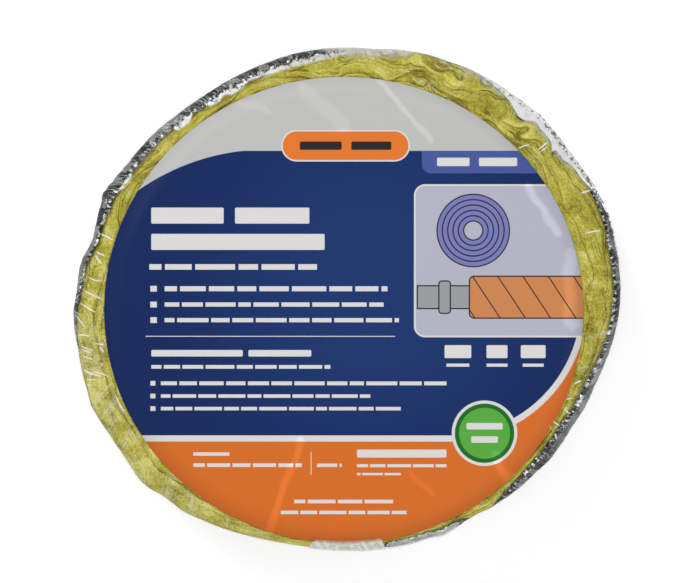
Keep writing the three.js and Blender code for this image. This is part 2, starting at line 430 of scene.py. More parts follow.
def add_world():
    world = bpy.data.worlds.new("studio")
    bpy.context.scene.world = world
    world.use_nodes = True
    nodes = Nodes(world.node_tree)
    height = nodes.add("ShaderNodeTexCoord", out="Generated").parts()[2]
    sky = nodes.ramp(
        height.clamped(), (0.0, (1.0, 1.0, 1.0)), (0.45, (1.0, 1.0, 1.0)),
        (0.8, (0.25, 0.25, 0.25)), (1.0, (0.06, 0.06, 0.06)))
    plug_all(world.node_tree.nodes["Background"], {"Color": sky, "Strength": 1.0})


add_floor()
add_world()
add_softbox("key", 125, 48, 1.6, (0.9, 0.9), 11)
add_softbox("fill", -35, 50, 1.6, (0.9, 0.9), 6)
bpy.context.scene.view_settings.view_transform = "Standard"
print("floor, world and two softboxes are set")

# %% [markdown]
# ## Glass wool
# The wool's colours follow the strip: every point of the wool carries how far along the strip
# it lies and how deep in the layer. Noise stretched along the strip draws the felted layers,
# and even noise draws tufts and fibres. Here and there two layers have parted in a thin line
# of painted shade, and the joints between turns get painted shade as well.

# %% Wool material
def wool_material():
    material, nodes, shader = new_material("glass_wool")
    run, layer, has_joint = nodes.attribute("strip")
    place = nodes.place()

    # the felted layers undulate on their way along the strip
    waves = nodes.noise((run * 55.0, layer * 130.0, 0.0), 1.0, 3.0, 0.6, 1.0)
    x, y, _ = place.parts()
    degrees = direction(x - AXIS.x, y - AXIS.y)
    crushed = degrees.near(CRUSHED, 32.0)
    buckle = nodes.noise(place, 55.0, 1.0, 0.5, 10.0) * crushed * (6 * MM)
    depth = layer + waves * (1.6 * MM) + buckle

    def layered(along, across, *noise):
        """Noise that is stretched along the layers; how often it changes in a metre."""
        return nodes.noise((run * along, depth * across, 0.0), 1.0, *noise)

    broad = layered(30.0, 420.0, 2.0, 0.5, 2.0)
    grain = layered(45.0, 1000.0, 2.0, 0.6, 3.0)
    fine = layered(90.0, 2200.0, 3.0, 0.65, 8.0)
    tufts = nodes.noise(place, 95.0, 4.0, 0.65, 4.0)
    fibres = nodes.noise(place, 820.0, 3.0, 0.75, 5.0)
    # at the left and the right the face is a felt of tufts and shows hardly any layers
    felt = degrees.near(352.0, 44.0) * 0.7 + degrees.near(190.0, 60.0) * 0.6
    layers = (broad * 0.5 + grain * 0.7 + fine * 0.5) * (1.0 - felt)
    layers = layers * (crushed * 0.8 + 1.0)
    tuft_share = felt + 0.7 - crushed * 0.4
    light = (layers + tufts * tuft_share + fibres * (felt * 0.5 + 0.9)) * 0.55 + 0.51
    light = light + degrees.near(195.0, 55.0) * 0.06 - degrees.near(68.0, 20.0) * 0.09
    colour = nodes.ramp(
        light, (0.12, (0.20, 0.165, 0.02)), (0.38, (0.43, 0.375, 0.05)),
        (0.60, (0.63, 0.575, 0.085)), (0.88, (0.86, 0.82, 0.31)))

    # painted shade: thin dark lines where two layers have parted, here and there, and at the joints
    parted = abs(layered(22.0, 300.0, 2.0, 0.5, 6.0)).fade(0.0, 0.028)
    parted = parted * nodes.noise(place, 60.0, 2.0, 0.6, 7.0).ease(-0.10, 0.15)
    joint = layer.at_most(TURN - layer) + fibres * (0.15 * MM)
    open_joint = nodes.noise((run * 70.0, 0.0, 0.0), 1.0, 3.0, 0.6, 9.0).ease(-0.2, 0.3)
    shade = joint.fade(0.03 * MM, 0.28 * MM) * has_joint * (open_joint * 0.8 + 0.2)
    light_line = abs(layered(26.0, 420.0, 2.0, 0.5, 11.0)).fade(0.0, 0.04)
    light_line = light_line * tufts.ease(-0.1, 0.2)
    colour = nodes.mix(light_line * (crushed * 0.4 + 0.3), colour, (0.80, 0.75, 0.36))
    colour = nodes.mix(parted * (crushed * 0.4 + 0.45) * (1.0 - felt), colour, (0.13, 0.10, 0.013))
    colour = nodes.mix(shade * (crushed * 0.25 + 0.3), colour, (0.16, 0.125, 0.015))
    relief = fine * 0.3 + grain * 0.5 + broad * 0.4 + fibres * 0.5 + tufts * 0.5 - parted
    plug_all(shader, {"Base Color": colour, "Roughness": 0.9, "Specular IOR Level": 0.15,
                      "Normal": nodes.bump(relief, 0.9 * MM)})
    return material


WOOL_MATERIAL = wool_material()
print("the wool's material is ready")

# %% [markdown]
# ## Aluminium foil
# Foil that was wound, squeezed and shrunk on is full of small flat facets, each of which
# mirrors something else: the light wall, the dark ceiling or a softbox. The facets are cells
# of a Voronoi pattern. The relief rises across each of them in a direction of its own, so
# each is a small plane with its own tilt. Their colour is a painted reflection as well: on the
# shoulders most are painted dark and a few bright, creases get painted shade or glints,
# scratches are fine lines of painted glint, and at two places of the rim the foil is calmer.

# %% Foil material
GLINT = (0.70, 0.73, 0.72)                   # painted glints on creases and scratches
FOIL_WALL = 0.06                             # the section from the lower shoulder to the upper
FOIL_CELLS = 210.0                           # facets for each metre


def foil_material():
    material, nodes, shader = new_material("crumpled_foil")
    run, section, lip = nodes.attribute("strip")
    place = nodes.place()
    x, y, _ = place.parts()
    degrees = direction(x - AXIS.x, y - AXIS.y)

    # facets: their places are bent a little so that their borders aren't straight
    bend = nodes.add("ShaderNodeTexNoise", inputs={"Vector": place, "Scale": 260.0}, out="Color")
    bent = vector_maths("ADD", nodes.vector(run + section * 0.35, section * 0.6, 0.0),
                        bend.scaled(0.005))
    flat = vector_maths("MULTIPLY", bent, (1.0, 1.0, 0.0))
    cell = nodes.add("ShaderNodeTexVoronoi", {"feature": "F1"},
                     {"Vector": flat, "Scale": FOIL_CELLS}, "Color")
    shine, tilt, slant = cell.parts()
    across, along, _ = vector_maths("SUBTRACT", flat, cell.also("Position")).parts()
    facet = across * (tilt - 0.5) + along * (slant - 0.5)
    edge = nodes.add("ShaderNodeTexVoronoi", {"feature": "DISTANCE_TO_EDGE"},
                     {"Vector": flat, "Scale": FOIL_CELLS}, "Distance")
    broad = nodes.noise(place, 60.0, 2.0, 0.5, 2.0)
    within = nodes.noise(flat, 900.0, 2.0, 0.6, 3.0)
    # painted reflection: each facet is painted dark or bright at random, paler in three directions
    pale = degrees.near(289.0, 13.0) * 0.30 + degrees.near(336.0, 13.0) * 0.12
    pale = pale + degrees.near(172.0, 12.0) * 0.2
    level = shine * 0.9 + broad * 0.2 + within * 0.12 + pale
    colour = nodes.ramp(
        level, (0.44, (0.012, 0.018, 0.015)), (0.60, (0.036, 0.048, 0.041)),
        (0.68, (0.12, 0.145, 0.13)), (0.88, (0.24, 0.27, 0.255)), (0.97, (0.78, 0.80, 0.79)))

    # creases and scratches: painted shade in the dark creases, painted glints on the bright creases
    # and on the scratches
    crease = edge.fade(0.0, 0.06)
    scratch = nodes.noise((run + section * 0.8, section * 0.2, 0.0), 380.0, 2.0, 0.6, 5.0)
    scratch = abs(scratch).fade(0.0, 0.05) * broad.ease(-0.4, 0.1)
    colour = nodes.mix(crease * tilt.ease(0.55, 0.8) * 0.8, colour, GLINT)
    colour = nodes.mix(crease * tilt.ease(0.45, 0.2) * 0.8, colour, (0.012, 0.014, 0.013))
    colour = nodes.mix(scratch * 0.7, colour, GLINT)
    # painted reflection: where the foil is calmer it is painted an even mid grey
    calm = degrees.near(339.0, 20.0).at_least(degrees.near(171.5, 8.0)) * 0.7
    colour = nodes.mix(calm * lip.ease(0.9, 0.7), colour, (0.22, 0.235, 0.225))

    # the wall was never squeezed so hard: there the foil is plain silver, a little creased
    wall = section.ease(0.002, 0.012) * section.fade(0.048, 0.057)
    silver = nodes.mix(broad.ease(-0.6, 0.6), (0.50, 0.52, 0.51), (0.62, 0.64, 0.63))
    colour = nodes.mix(wall * (0.9 - crease * 0.4), colour, silver)

    # the crimped edge of the lip: a row of small teeth, painted shadow in the dark ones and painted
    # glints on the bright ones
    tooth = nodes.noise((run, section * 0.6, 0.0), 560.0, 3.0, 0.7, 6.0)
    edge_row = (lip + tooth * 0.15).ease(0.74, 0.80)
    colour = nodes.mix(edge_row * tooth.ease(-0.05, 0.05), colour, (0.014, 0.014, 0.013))
    colour = nodes.mix(edge_row * tooth.ease(-0.05, -0.15), colour, (0.76, 0.78, 0.77))
    frosted = degrees.near(288.0, 14.0) * (0.85 - crease * 0.6) * lip.ease(0.0, 0.3)
    colour = nodes.mix(frosted, colour, (0.66, 0.67, 0.65))
    relief = facet * (1.3 - wall * 0.9) + crease * (0.04 * MM) + within * (0.05 * MM)
    plug_all(shader, {"Base Color": colour, "Roughness": tilt * 0.2 + 0.28, "Metallic": 0.8,
                      "Normal": nodes.bump(relief, 1.0)})
    return material


FOIL_MATERIAL = foil_material()
print("the foil's material is ready")

# %% [markdown]
# ## Growing meshes with Geometry Nodes
# The wool and the foil follow one rule, a spiral pressed a little oval, so both are grown by
# node trees, and so are the card and the film. A tree starts from a plain grid: one direction
# runs along the strip, the other goes once round its cross-section, and the nodes work out
# where each point belongs. What was measured round the roll reaches them as attributes of a
# ring of points. Each tree runs on that ring, and its result is kept as an ordinary mesh.

# %% Helpers for growing
WELD = 0.002 * MM                            # points that lie nearer to each other are one


def geometry_tree(name, *lengths):
    """A new tree, its node helper and its inputs as wires. Every tree takes the outline ring,
    how many columns and rows its grid has, a material, and the lengths that are named."""
    tree = bpy.data.node_groups.new(name, "GeometryNodeTree")
    kinds = {"Base": "Geometry", "Columns": "Int", "Rows": "Int"}
    kinds.update({length: "Float" for length in lengths})
    kinds["Material"] = "Material"
    for title, kind in kinds.items():
        tree.interface.new_socket(title, in_out="INPUT", socket_type="NodeSocket" + kind)
    tree.interface.new_socket("Mesh", in_out="OUTPUT", socket_type="NodeSocketGeometry")
    group_input = tree.nodes.new("NodeGroupInput")
    wires = {socket.name: Wire(socket) for socket in group_input.outputs if socket.name}
    return Nodes(tree), wires


def unit_grid(nodes, columns, rows):
    """A flat grid with its middle at the origin, and the x and y of its points."""
    grid = nodes.add("GeometryNodeMeshGrid", inputs={
        "Size X": 1.0, "Size Y": 1.0, "Vertices X": columns, "Vertices Y": rows})
    x, y, _ = nodes.add("GeometryNodeInputPosition").parts()
    return grid, x, y


def finished(nodes, wire, grid, x, y, z, **carried):
    """Ends a tree: its points carry the named vectors, move to a place that is given from the
    winding's axis, and are welded where they meet. Realize Instances and Set Material close
    every tree."""
    for name, value in carried.items():
        grid = nodes.add("GeometryNodeStoreNamedAttribute",
                         {"data_type": "FLOAT_VECTOR", "domain": "POINT"},
                         {"Geometry": grid, "Name": name, "Value": value})
    place = nodes.vector(x + AXIS.x, y + AXIS.y, z)
    moved = nodes.add("GeometryNodeSetPosition", inputs={"Geometry": grid, "Position": place})
    welded = nodes.add("GeometryNodeMergeByDistance", inputs={
        "Geometry": moved, "Distance": WELD})
    realized = nodes.add("GeometryNodeRealizeInstances", inputs={"Geometry": welded})
    dressed = nodes.add("GeometryNodeSetMaterial", inputs={
        "Geometry": realized, "Material": wire["Material"]})
    group_output = nodes.tree.nodes.new("NodeGroupOutput")
    plug(group_output.inputs[0], dressed)
    return nodes.tree


def grow(name, tree, values):
    """Runs a tree on the outline ring and returns the grown mesh as an object at the origin."""
    grower = add_object(name + " grower", RING)
    modifier = grower.modifiers.new("grow", "NODES")
    modifier.node_group = tree
    for item in tree.interface.items_tree:
        if item.item_type == "SOCKET" and item.in_out == "INPUT" and item.name in values:
            modifier[item.identifier] = values[item.name]
    depsgraph = bpy.context.evaluated_depsgraph_get()
    mesh = bpy.data.meshes.new_from_object(grower.evaluated_get(depsgraph))
    bpy.data.objects.remove(grower)
    mesh.name = name
    piece = add_object(name, mesh)
    print(name, "has", sum(len(face.vertices) - 2 for face in mesh.polygons), "triangles")
    return piece


def outline_ring():
    """A ring of 360 points, one for each degree, that carries what was measured there."""
    mesh = bpy.data.meshes.new("outline ring")
    around = [math.radians(degree) for degree in range(360)]
    corners = [(r * math.cos(a), r * math.sin(a), 0) for r, a in zip(wool_outline, around)]
    mesh.from_pydata(corners, [(i, (i + 1) % 360) for i in range(360)], [])
    for name, lengths in (
        ("outline", wool_outline), ("card edge", card_outline), ("film edge", film_outline),
        ("foil lip", foil_lip), ("milky", round_the_rim(MILKY)),
        ("whitened", round_the_rim(WHITENED)),
    ):
        attribute = mesh.attributes.new(name, "FLOAT", "POINT")
        attribute.data.foreach_set("value", [float(length) for length in lengths])
    return mesh


RING = outline_ring()

# %% [markdown]
# ## The rule of the winding
# The strip is wound from a small hollow at the middle, turn on turn, until its length is used
# up. Where its outer end stops, the turn below shows, and the surface needs some way to come
# out to the full radius again. The whole winding is a little oval, and inside it the squeezed
# turns buckle sideways, more near the top where the strip was crushed most. Wool and foil both
# ask these functions for their places, so they fit each other exactly.

# %% Where a point of the winding lies
CALM_RIM = 9 * MM                            # nearer to the rim the turns buckle less and less
BUCKLED = 70.0                               # degrees, where they buckle most
# how often in a metre the turns buckle, how far, and the noise's seed
BUCKLES = ((26.0, 15 * MM, 3.0), (75.0, 4.5 * MM, 8.0))


def ring_reader(nodes, wire, degrees):
    """A function that tells what the outline ring carries in a direction."""
    whole = degrees.floor()

    def carried(name):
        value = nodes.add("GeometryNodeInputNamedAttribute", {"data_type": "FLOAT"},
                          {"Name": name})
        here, after = [
            nodes.add("GeometryNodeSampleIndex", {"data_type": "FLOAT"},
                      {"Geometry": wire["Base"], "Value": value, "Index": index % 360.0})
            for index in (whole, whole + 1.0)
        ]
        return here + (after - here) * (degrees - whole)

    return carried


def spiral(run):
    """Turn, direction in degrees, and radius of the inner and the outer joint at a run."""
    turn = ((run * (TURN / math.pi) + FIRST_TURN ** 2).sqrt() - FIRST_TURN) / TURN
    degrees = (turn - TURNS) * 360.0 + END_ANGLE
    inner = turn * TURN + BORE
    past_end = (turn + 1.0 - TURNS) * 360.0
    outer = (inner + TURN).at_most(FULL_RADIUS - TURN) + past_end.ease(0.0, POCKET_ANGLE) * TURN
    outer = outer - past_end.ease(338.0, 360.0) * TAIL_THINNING
    return turn, degrees, inner, outer


def pressed_place(nodes, ring, radius, degrees):
    """The place of a radius once the winding is pressed oval and has buckled, and how far it
    lies along the way from the card's edge (0) to the rim (1)."""
    outline, card_edge = ring("outline"), ring("card edge")
    pressed = radius + (outline - FULL_RADIUS) * (radius / FULL_RADIUS) ** 2.0
    angle = degrees * math.radians(1.0)
    flat = nodes.vector(pressed * angle.cos(), pressed * angle.sin(), 0.0)
    inside = ((outline - pressed) / CALM_RIM).clamped()
    strength = inside * ((angle - math.radians(BUCKLED)).cos() * 0.5 + 0.6)
    strength = strength * (degrees.near(CRUSHED, 30.0) * 0.4 + 1.0)
    sideways = flat
    for scale, size, seed in BUCKLES:
        noise = nodes.add("ShaderNodeTexNoise", {"noise_dimensions": "4D"},
                          {"Vector": flat, "W": seed, "Scale": scale, "Detail": 1.0}, "Color")
        centred = vector_maths("SUBTRACT", noise, (0.5, 0.5, 0.5))
        level = vector_maths("MULTIPLY", centred, (2.0, 2.0, 0.0))
        step = level.scaled(strength * size)
        sideways = vector_maths("ADD", sideways, step)
    x, y, _ = sideways.parts()
    far = (x * x + y * y).sqrt()
    return sideways, (far - card_edge) / (outline - card_edge)


def shoulder_drop(beyond):
    """How far the face has rounded down between the card's edge and the rim."""
    left = 1.0 - beyond.clamped() ** SQUARENESS
    return (1.0 - left.at_least(0.0) ** (1 / SQUARENESS)) * SHOULDER


print("the strip winds into", round(TURNS, 2), "turns")

# %% [markdown]
# ## The wound wool
# Glass wool is cut from a blanket of felted layers, so on the roll's flat faces each turn
# shows its fine layers as lines that run with the winding, and the turns bulge softly
# between the dark grooves where they meet. The tree makes one long closed strip: its section
# goes over the top face, down the outer side, back underneath and up the inner side.

# %% Grow the wool
WOOL_COLUMNS, WOOL_ROWS = 3600, 10           # along the strip, and across one face of it
GROOVE = 0.7 * MM                            # how far the joint lies below a turn's crest


def closed_strip(nodes, columns, rows):
    """A grid bent into a long closed tube: one way it runs along, the other way it goes out
    over one face (share 0 to 1, side 1) and back over the other (share 1 to 0, side 0).
    The two end columns shrink to a point, which closes the ends."""
    loop = rows * 2.0 + 2.0
    grid, x, y = unit_grid(nodes, columns, loop + 1.0)
    column = (x + 0.5) * (columns - 1.0)
    is_end = (column < 0.5) + (column > columns - 1.5)
    along = ((column - 1.0) / (columns - 3.0)).clamped()
    row = (y + 0.5) * loop
    share = (row / rows).at_most((loop - 1.0 - row) / rows).clamped()
    side = 1.0 - (row - rows).clamped() + (row - (loop - 1.0)).clamped()
    return (grid, along, nodes.choose(is_end, 0.5, share), nodes.choose(is_end, 0.5, side))


def wool_tree():
    nodes, wire = geometry_tree("wind the wool", "Groove")
    grid, along, across, up = closed_strip(nodes, wire["Columns"], wire["Rows"])
    run = along * STRIP_LENGTH
    turn, degrees, inner, outer = spiral(run)
    ring = ring_reader(nodes, wire, degrees)
    torn = abs(nodes.noise((run, 0.0, 0.0), 150.0, 3.0, 0.7, 9.0)) * (-2.4 * MM)
    in_hollow = degrees.near(HOLLOW, 24.0) * (turn > TURNS - 1.0)
    radius = inner + across * (outer - inner) + torn * in_hollow * across ** 3.0
    flat, beyond = pressed_place(nodes, ring, radius, degrees)
    x, y, _ = flat.parts()

    # each face bulges between its grooves, but there is no groove at the rim
    rim = ((turn + 1.0 - TURNS) * 360.0).ease(0.0, POCKET_ANGLE)
    has_groove = nodes.choose(across < 0.5, 1.0, 1.0 - rim)
    groove = abs(across * 2.0 - 1.0) ** 7.0 * wire["Groove"] * has_groove
    own = nodes.vector(x, y, turn * 0.02 + up.ease(0.49, 0.51))
    tufts = nodes.noise(own, 110.0, 3.0, 0.55, 5.0) * (0.6 * MM)
    swells = nodes.noise(own, 28.0, 1.0, 0.5, 6.0) * (0.7 * MM)
    # where the foil lies over the shoulder, it presses the wool down a little
    lip = ring("foil lip")
    pressed = (lip / (2 * MM)).clamped() * beyond.ease(0.25, 0.6) * (1.2 * MM)
    down = (shoulder_drop(beyond) + groove + tufts + swells + pressed).at_least(-0.2 * MM)
    low, high = down + WOOL_BOTTOM, WOOL_TOP - down
    strip = nodes.vector(run, across * TURN, has_groove)
    return finished(nodes, wire, grid, x, y, low + (high - low) * up, strip=strip)


def with_outward_normals(piece):
    """Turns every face outwards."""
    shell = bmesh.new()
    shell.from_mesh(piece.data)
    bmesh.ops.recalc_face_normals(shell, faces=shell.faces)
    if shell.calc_volume(signed=True) < 0:
        bmesh.ops.reverse_faces(shell, faces=shell.faces)
    shell.to_mesh(piece.data)
    shell.free()
    piece.data.shade_smooth()
    return piece


wool = with_outward_normals(grow("wound_wool", wool_tree(), {
    "Columns": WOOL_COLUMNS, "Rows": WOOL_ROWS, "Groove": GROOVE, "Material": WOOL_MATERIAL}))
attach(wool, "root")
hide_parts("fiberglass_roll")

# %% [markdown]
# ## The foil
# The strip's foil backing faces outwards on every turn. Between the turns only its edge
# peeps out of the grooves, as a thin line that glints here and there, so there it is a plain
# ribbon. Round the outermost turn the film has pulled it over both shoulders in a crimped
# lip: wide at the right and the upper left, and gone at the lower left and the upper right.

# %% Grow the foil
def run_to(turn):
    """Length of strip that is used up by a number of turns."""
    return 2 * math.pi * (FIRST_TURN * turn + TURN * turn ** 2 / 2)


def ribbon_tree():
    nodes, wire = geometry_tree("wind the foil", "Last run")
    grid, along, share, side = closed_strip(nodes, wire["Columns"], wire["Rows"])
    run = along * wire["Last run"]
    _, degrees, _, outer = spiral(run)
    ring = ring_reader(nodes, wire, degrees)
    flat, beyond = pressed_place(nodes, ring, outer + (side - 0.5) * (0.12 * MM), degrees)
    x, y, _ = flat.parts()
    torn = nodes.noise((run, side * 0.001, share.ease(0.4, 0.6)), 420.0, 3.0, 0.7, 1.0)
    slow = nodes.noise((run, 0.0, share.ease(0.4, 0.6)), 60.0, 1.0, 0.5, 2.0)
    sunk = 2.4 * MM - degrees.near(CRUSHED, 40.0) * (1.9 * MM)
    drop = shoulder_drop(beyond) + sunk - torn * (0.7 * MM) - slow * (0.9 * MM)
    drop = drop.at_least(0.1 * MM)
    z = WOOL_BOTTOM + drop + (WOOL_TOP - WOOL_BOTTOM - drop * 2.0) * share
    return finished(nodes, wire, grid, x, y, z, strip=nodes.vector(run, share * 0.07, 0.0))


def band_tree():
    nodes, wire = geometry_tree("wrap the foil over the rim", "First run")
    grid, along, share, side = closed_strip(nodes, wire["Columns"], wire["Rows"])
    run = wire["First run"] + along * (STRIP_LENGTH - wire["First run"])
    _, degrees, _, outer = spiral(run)
    ring = ring_reader(nodes, wire, degrees)
    flat, rim = pressed_place(nodes, ring, outer, degrees)
    card_edge = ring("card edge")
    ring_width = ring("outline") - card_edge

    # the middle half of the section is the wall, the outer quarters are the lips
    upper = share.ease(0.49, 0.51)
    bend = ((abs(share - 0.5) - 0.25) * 4.0).clamped()
    wall = ((share - 0.25) * 2.0).clamped()
    torn = nodes.noise((run, upper, 0.0), 330.0, 3.0, 0.75, 1.0)
    slow = nodes.noise((run, upper, 0.0), 45.0, 2.0, 0.5, 2.0)
    width = ring("foil lip")
    pulled = (width / (2 * MM)).clamped()
    lip = bend * (width + 0.2 * MM + (torn * (1.8 * MM) + slow * (0.5 * MM)) * pulled)
    over = (rim - bend * lip / ring_width).at_least(0.06)
    up = 1.0 - shoulder_drop(over) / SHOULDER

    # crimped pleats grow towards the lip's edge, and the whole sheet is crumpled; where there
    # is no lip, the edge is tucked into the wool
    flat_place = nodes.vector(run, lip, wall * FOIL_WALL + upper)
    pleat = abs((run / (4.7 * MM) + nodes.noise(flat_place, 90.0, 1.0, 0.5, 4.0)) % 1.0 - 0.5)
    crumple = abs(nodes.noise(flat_place, 170.0, 2.0, 0.6, 3.0)) * (0.9 * MM)
    lift = (0.3 * MM + crumple + pleat * bend * (0.5 * MM)) * pulled
    tucked = (1.0 - pulled) * wall.ease(0.94, 1.0) * (0.6 * MM)
    lift = lift + 0.17 * MM + side * (0.05 * MM) - tucked
    radius = card_edge + over * ring_width + lift * over
    low = (WOOL_BOTTOM + shoulder_drop(over) - lift * up).at_least(0.3 * MM)
    hollow = degrees.near(HOLLOW, 26.0) * (6 * MM)
    high = WOOL_TOP - shoulder_drop(over) + lift * up - hollow
    z = low + (high - low) * wall
    x, y, _ = flat.scaled(radius / (card_edge + rim * ring_width)).parts()
    section = wall * FOIL_WALL + lip * (upper * 2.0 - 1.0)
    strip = nodes.vector(run, section, bend * (lip > 1.5 * MM))
    return finished(nodes, wire, grid, x, y, z, strip=strip)


def joined(first, second):
    """One object out of two."""
    shell = bmesh.new()
    for piece in (first, second):
        shell.from_mesh(piece.data)
    shell.to_mesh(first.data)
    shell.free()
    bpy.data.objects.remove(second)
    return first


last_run = run_to(TURNS - 1)
foil = grow("foil_facing_visual", band_tree(), {
    "Columns": 1500, "Rows": 22, "First run": last_run, "Material": FOIL_MATERIAL})
ribbon = grow("foil_between_turns", ribbon_tree(), {
    "Columns": 3200, "Rows": 3, "Last run": last_run, "Material": FOIL_MATERIAL})
foil = with_outward_normals(joined(foil, ribbon))
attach(foil, "root")
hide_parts("foil_facing")

# %% [markdown]
# ## The printed card
# The card is a plain disc with a print on its upper side: a pale grey field at the top, a
# large dark blue field with a rounded shoulder at its left, a white band and an orange field
# below, and a pale window at the right. The print is drawn by the shader from distances to
# boxes, discs and lines, in millimetres from the card's middle. Where a printed card has words,
# this one has plain bars of the same length and colour, so it says nothing.

# %% Drawing with distances
class Print:
    """Draws flat shapes over one another on a plane; lengths in millimetres."""

    def __init__(self, nodes, x, y, colour):
        self.nodes, self.x, self.y, self.colour = nodes, x, y, colour

    def paint(self, cover, colour):
        self.colour = self.nodes.mix(cover, self.colour, colour)

    def box(self, left, right, bottom, top, corner=0.0):
        """Distance outwards from a box, with rounded corners where a corner radius is given."""
        outside_x = abs(self.x - (left + right) / 2) - ((right - left) / 2 - corner)
        outside_y = abs(self.y - (bottom + top) / 2) - ((top - bottom) / 2 - corner)
        if corner == 0:
            return outside_x.at_least(outside_y)
        far = (outside_x.at_least(0.0) ** 2.0 + outside_y.at_least(0.0) ** 2.0).sqrt()
        return far + outside_x.at_least(outside_y).at_most(0.0) - corner

    def disc(self, x, y, radius):
        dx, dy = self.x - x, self.y - y
        return (dx * dx + dy * dy).sqrt() - radius

    def fill(self, distance, colour, soft=0.15):
        self.paint(distance.fade(-soft, soft), colour)

    def words(self, left, right, bottom, height, length, seed):
        """Distance outwards from a line of bars that are about as long as words."""
        place = (self.x - left) / length
        chance = self.nodes.add("ShaderNodeTexWhiteNoise", {"noise_dimensions": "1D"},
                                {"W": place.floor() + seed * 57.3})
        gap = height * 0.32
        beside = gap - abs(place % 1.0 - 0.25 - chance * 0.5) * length
        return self.box(left, right, bottom, bottom + height).at_least(beside)


print("drawing helpers are ready")

# %% [markdown]
# The dark blue field has one very large rounded corner at its lower right, which the white
# band follows, and at the upper left its edge falls off in a wide arc. The window at the
# right runs out over the card's edge. In it stands a generic picture of a wrapped pipe: a
# level grey pipe with a collar, a sleeve of slanting turns, and a spare coil above it.

# %% The print's fields
NAVY = (0.005, 0.022, 0.115)
NAVY_LIGHT = (0.010, 0.038, 0.165)
WHITE = (0.74, 0.73, 0.72)
GREY = (0.54, 0.54, 0.53)
ORANGE = (0.71, 0.165, 0.022)
ORANGE_LIGHT = (0.80, 0.20, 0.03)
LAVENDER = (0.475, 0.485, 0.58)
TAB_BLUE = (0.065, 0.105, 0.34)
LEAF = (0.10, 0.42, 0.055)
DARK_LEAF = (0.014, 0.15, 0.02)
PIPE_GREY = (0.34, 0.35, 0.37)
TAN = (0.64, 0.25, 0.09)
VIOLET = (0.20, 0.21, 0.50)
INK = (0.02, 0.02, 0.025)
BARE_CARD = (0.60, 0.57, 0.50)
PRINT_DEPTH = 0.25 * MM                      # below it the card is bare
BEYOND = 200.0                               # well past the card's edge


def paint_fields(page):
    """The coloured fields, the tab and the rules."""
    blue_field = page.box(-BEYOND, 124.6, -65.7, BEYOND, 69.8)
    glow = page.disc(15.0, 10.0, 0.0).fade(20.0, 125.0)
    page.fill(blue_field - 3.2, WHITE)
    page.fill(blue_field, page.nodes.mix(glow, NAVY, NAVY_LIGHT))
    page.fill((0.0 - page.disc(-40.0, -33.5, 118.0)).at_least(page.x + 40.0), GREY)
    page.fill(83.8 - page.y, GREY)


def paint_words(page):
    """Bars in place of print: two thick headings, and lines of thinner bars. They have one
    colour and don't overlap, so the nearest of them is enough to fill them all."""
    white = []
    for left, right, bottom, top in (
        (-101, -63, 45.6, 54.0), (-57, -18, 45.6, 54.0), (-101, -10, 31.8, 40.2),
        (-101, -53, -24.2, -20.8), (-50, -17, -24.2, -20.8),
        (53, 67, -25.0, -18.2), (75, 86, -25.0, -18.2), (93, 106, -25.0, -18.2),
        (54, 66, -29.5, -27.9), (75, 86, -29.5, -27.9), (94, 105, -29.5, -27.9),
        (7, 54, -77.3, -73.1),
    ):
        white.append(page.box(left, right, bottom, top, 0.7 if top - bottom > 3.0 else 0.0))
    for left, right, bottom, height, length, seed in (
        (-102, -14, 21.4, 2.9, 17, 3), (-94, 23, 10.1, 2.6, 15, 4),
        (-94, 21, 2.0, 2.2, 14, 5), (-94, 29, -6.2, 2.2, 14, 6),
        (-101, -7, -30.6, 1.9, 12, 8), (-96, 54, -39.3, 2.0, 13, 9),
        (-96, 14, -45.9, 1.8, 12, 10), (-96, 30, -52.5, 1.8, 12, 11),
        (-79, -60, -76.4, 1.8, 30, 14), (-79, -22, -82.3, 1.9, 12, 15),
        (-14, -1, -82.3, 1.8, 30, 16), (7, 54, -82.4, 1.6, 11, 18),
        (7, 30, -86.6, 1.2, 9, 19), (-26, 26, -101.4, 1.9, 16, 20),
        (-33, 33, -107.1, 1.8, 13, 21),
    ):
        white.append(page.words(left, right, bottom, height, length, seed))
    for right, half, levels in ((-98.1, 1.5, (11.4, 3.1, -5.1)),
                                (-98.9, 1.2, (-38.3, -45.0, -51.6))):
        for y in levels:
            white.append(page.box(-101.5, right, y - half, y + half))
    white.append(page.box(-104.0, 27.0, -13.8, -13.4))
    white.append(page.box(-17.3, -16.9, -86.4, -74.4))
    page.fill(functools.reduce(Wire.at_most, white), WHITE, 0.13)


def paint_window(page):
    """A pale window with a wrapped pipe."""
    window = page.box(37.8, BEYOND, -13.2, 65.4, 5.0)
    page.fill(window - 0.9, WHITE)
    page.fill(window, LAVENDER)
    inside = window + 0.9

    def shape(distance, colour):
        distance = distance.at_least(inside)
        page.fill(distance - 0.35, INK)
        page.fill(distance + 0.35, colour)

    # a coil of the wrap, seen on its end
    for radius in (19.0, 16.2, 13.4, 10.6, 7.8, 5.0):
        shape(page.disc(68.0, 42.0, radius), VIOLET if radius > 5.5 else LAVENDER)
    # the pipe, its collar and the slanting turns of the sleeve
    shape(page.box(30.0, BEYOND, 1.0, 13.0), PIPE_GREY)
    shape(page.box(50.0, 56.0, -1.5, 15.5, 1.5), PIPE_GREY)
    sleeve = page.box(66.0, BEYOND, -4.0, 18.0, 2.5)
    shape(sleeve, TAN)
    turns = abs((page.x * 0.83 + page.y * 0.55) % 11.0 - 5.5) - 5.2
    page.fill(sleeve.at_least(inside).at_least(0.0 - turns), INK)


